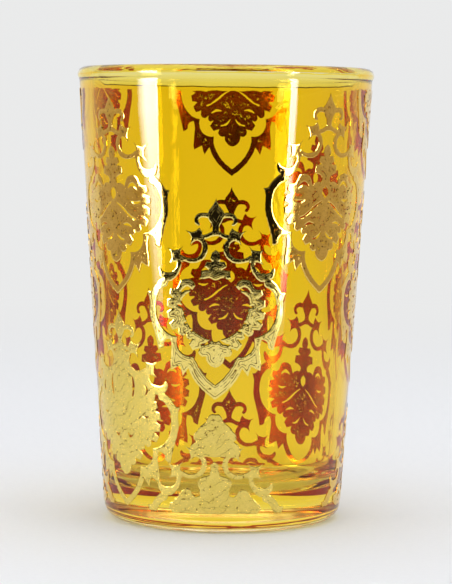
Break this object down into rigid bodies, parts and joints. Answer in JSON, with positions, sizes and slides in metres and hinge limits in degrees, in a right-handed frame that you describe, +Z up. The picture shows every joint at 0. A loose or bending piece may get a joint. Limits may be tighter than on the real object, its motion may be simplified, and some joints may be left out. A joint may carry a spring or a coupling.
{
  "type": "moroccan tea glass",
  "caption": "Straight tapered tea tumbler of pressed glass with a rounded rim and thick base, amber film on the outside and gold medallion transfers in a half-drop repeat.",
  "frame": {"origin": "on the table plane, under the middle of the foot", "axes": "+Z up along the glass's axis, -Y towards the front column of medallions"},
  "size_m": [0.0592, 0.0592, 0.09],
  "materials": {
    "clear_glass": "clear, fire-polished",
    "amber_film": "clear amber film, glossy",
    "gold_film": "bright gold transfer, lightly crackled"
  },
  "bodies": {
    "root": {"glass_body": "clear_glass", "amber_coat": "amber_film", "gold_front_middle": "gold_film", "gold_front_foot": "gold_film", "gold_front_left_upper": "gold_film", "gold_front_left_lower": "gold_film", "gold_front_right_upper": "gold_film", "gold_back_right_upper": "gold_film", "gold_back_right_lower": "gold_film", "gold_back_left_lower": "gold_film", "gold_right_top": "gold_film", "gold_right_middle": "gold_film", "gold_right_foot": "gold_film", "gold_back_top": "gold_film", "gold_back_middle": "gold_film", "gold_back_foot": "gold_film", "gold_left_top": "gold_film", "gold_left_middle": "gold_film", "gold_left_foot": "gold_film"}
  },
  "joints": []
}
